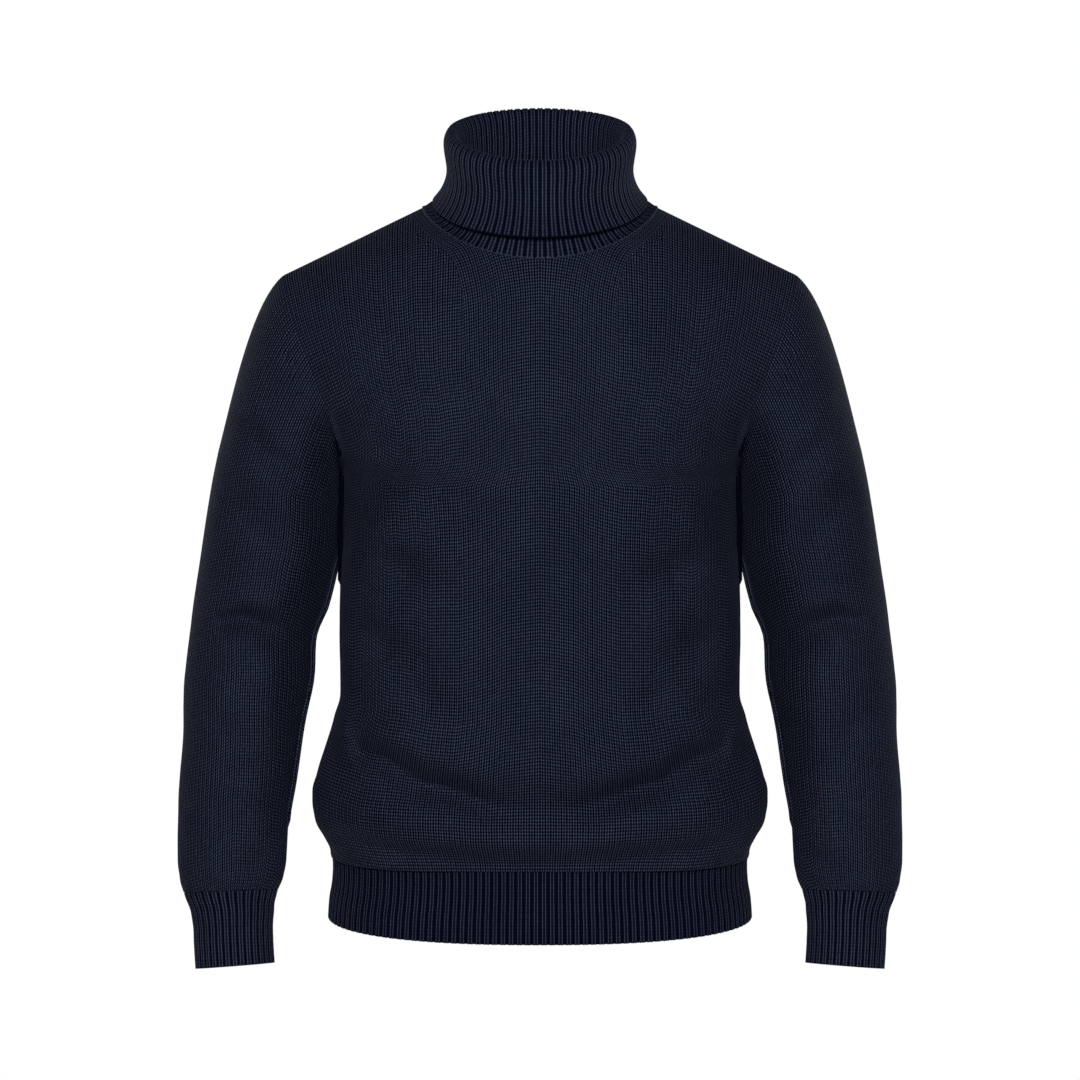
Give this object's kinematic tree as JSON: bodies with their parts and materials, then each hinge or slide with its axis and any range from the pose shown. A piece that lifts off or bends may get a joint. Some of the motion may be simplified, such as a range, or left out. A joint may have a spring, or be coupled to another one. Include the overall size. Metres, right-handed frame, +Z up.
{
  "type": "turtleneck sweater",
  "caption": "Men's navy turtleneck sweater in heavy knit with a turned-down ribbed collar, ribbed hem and cuffs, filled out as worn.",
  "frame": {"origin": "the middle of the neck opening, level with the highest points of the shoulders, where the wearer's neck and shoulders carry the sweater", "axes": "+Z up, -Y the way the front faces, +X the wearer's left"},
  "size_m": [0.686, 0.2667, 0.8122],
  "materials": {
    "body_knit": "matt navy stocking-stitch knit in thick yarn",
    "rib_knit": "matt navy two-by-two ribbed knit in thick yarn"
  },
  "bodies": {
    "root": {"front_panel": "body_knit", "back_panel": "body_knit", "sleeve_left": "body_knit", "sleeve_right": "body_knit", "roll_collar": "rib_knit", "hem_rib_front": "rib_knit", "hem_rib_back": "rib_knit", "cuff_left": "rib_knit", "cuff_right": "rib_knit"}
  },
  "joints": []
}
